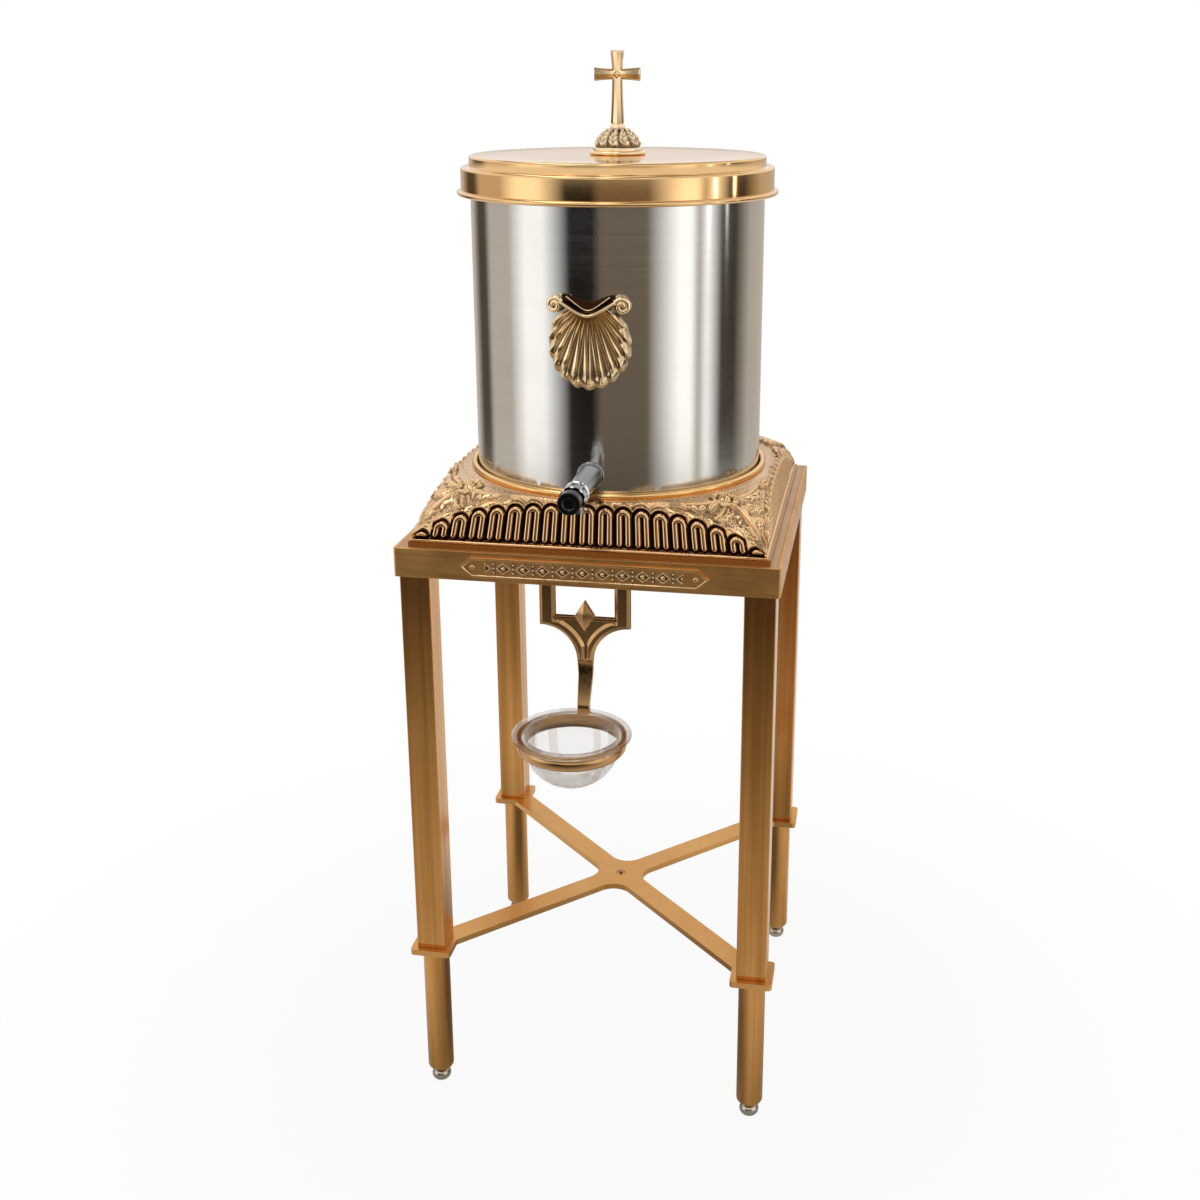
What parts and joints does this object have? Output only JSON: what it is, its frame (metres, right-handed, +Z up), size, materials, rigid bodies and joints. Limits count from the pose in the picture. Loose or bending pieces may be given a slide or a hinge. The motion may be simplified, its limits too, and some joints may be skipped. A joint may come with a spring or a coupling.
{
  "type": "holy water dispenser",
  "caption": "Covered round steel tank with a push tap and shell ornament, in an embossed brass base on a tall brass table with crossed stretcher and hanging glass drip bowl.",
  "frame": {"origin": "on the floor, under the middle of the whole outline seen from above", "axes": "+Z up, +X to the right seen from the front, +Y to the back; the tap and the drip bowl are at the front, towards -Y"},
  "size_m": [0.3936, 0.5098, 1.1147],
  "materials": {
    "satin_brass": "satin, long brushed grain",
    "polished_brass": "polished casting",
    "antique_brass": "satin casting with darkened hollows",
    "lid_brass": "turned and brushed round",
    "tank_steel": "brushed round the wall",
    "chrome": "bright plated",
    "fastener_steel": "plain steel",
    "seal_rubber": "matte",
    "button_black": "moulded, semi-gloss",
    "clear_glass": "clear pressed glass"
  },
  "bodies": {
    "stand": {"table_top": "satin_brass", "apron_front": "satin_brass", "apron_back": "satin_brass", "apron_left": "satin_brass", "apron_right": "satin_brass", "leg_front_left": "satin_brass", "leg_front_right": "satin_brass", "leg_back_left": "satin_brass", "leg_back_right": "satin_brass", "lower_leg_front_left": "satin_brass", "lower_leg_front_right": "satin_brass", "lower_leg_back_left": "satin_brass", "lower_leg_back_right": "satin_brass", "leg_top_plugs": "fastener_steel", "leg_top_screws": "fastener_steel", "leg_bottom_plugs": "fastener_steel", "leg_studs": "fastener_steel", "stretcher_bar_lower": "satin_brass", "stretcher_bar_upper": "satin_brass", "stretcher_screw": "antique_brass", "stretcher_nut": "fastener_steel", "nameplate": "antique_brass", "nameplate_rivets": "antique_brass", "base_plate": "polished_brass", "embossed_base": "polished_brass", "base_screws": "fastener_steel", "collar_ring": "polished_brass", "drip_bracket": "antique_brass", "bracket_screws": "fastener_steel", "drip_ring": "antique_brass", "drip_ring_rivet": "antique_brass"},
    "tank_unit": {"tank": "tank_steel", "shell_ornament": "polished_brass", "shell_stud": "fastener_steel", "shell_washer": "seal_rubber", "shell_nut": "fastener_steel", "tap_body": "chrome", "tap_outer_gasket": "seal_rubber", "tap_inner_gasket": "seal_rubber", "tap_lock_nut": "fastener_steel", "tap_bonnet": "chrome", "tap_stem_seal": "seal_rubber", "return_spring": "fastener_steel"},
    "lid": {"lid_cover": "lid_brass", "finial_dome": "polished_brass", "finial_cross": "polished_brass", "finial_screw": "fastener_steel"},
    "push_button": {"push_button": "button_black", "valve_stem": "fastener_steel", "valve_disc": "seal_rubber", "valve_disc_nut": "fastener_steel"},
    "glass_bowl": {"glass_bowl": "clear_glass"},
    "foot_front_left": {"foot_front_left": "chrome"},
    "foot_front_right": {"foot_front_right": "chrome"},
    "foot_back_left": {"foot_back_left": "chrome"},
    "foot_back_right": {"foot_back_right": "chrome"}
  },
  "joints": [
    {"name": "tank_lift", "type": "slide", "parent": "stand", "child": "tank_unit", "axis": [0, 0, 1], "range_m": [0, 0.1]},
    {"name": "lid_lift", "type": "slide", "parent": "tank_unit", "child": "lid", "axis": [0, 0, 1], "range_m": [0, 0.08]},
    {"name": "button_push", "type": "slide", "parent": "tank_unit", "child": "push_button", "axis": [0, 1, 0], "range_m": [0, 0.005], "stiffness_N_per_m": 900, "springref_m": -0.004, "deforming": ["return_spring"]},
    {"name": "bowl_lift", "type": "slide", "parent": "stand", "child": "glass_bowl", "axis": [0, 0, 1], "range_m": [0, 0.09]},
    {"name": "foot_turn_front_left", "type": "hinge", "parent": "stand", "child": "foot_front_left", "pos_m": [-0.17455, -0.11645, 0], "axis": [0, 0, 1], "range_deg": [0, 1080]},
    {"name": "foot_turn_front_right", "type": "hinge", "parent": "stand", "child": "foot_front_right", "pos_m": [0.17455, -0.11645, 0], "axis": [0, 0, 1], "range_deg": [0, 1080]},
    {"name": "foot_turn_back_left", "type": "hinge", "parent": "stand", "child": "foot_back_left", "pos_m": [-0.17455, 0.23265, 0], "axis": [0, 0, 1], "range_deg": [0, 1080]},
    {"name": "foot_turn_back_right", "type": "hinge", "parent": "stand", "child": "foot_back_right", "pos_m": [0.17455, 0.23265, 0], "axis": [0, 0, 1], "range_deg": [0, 1080]}
  ]
}
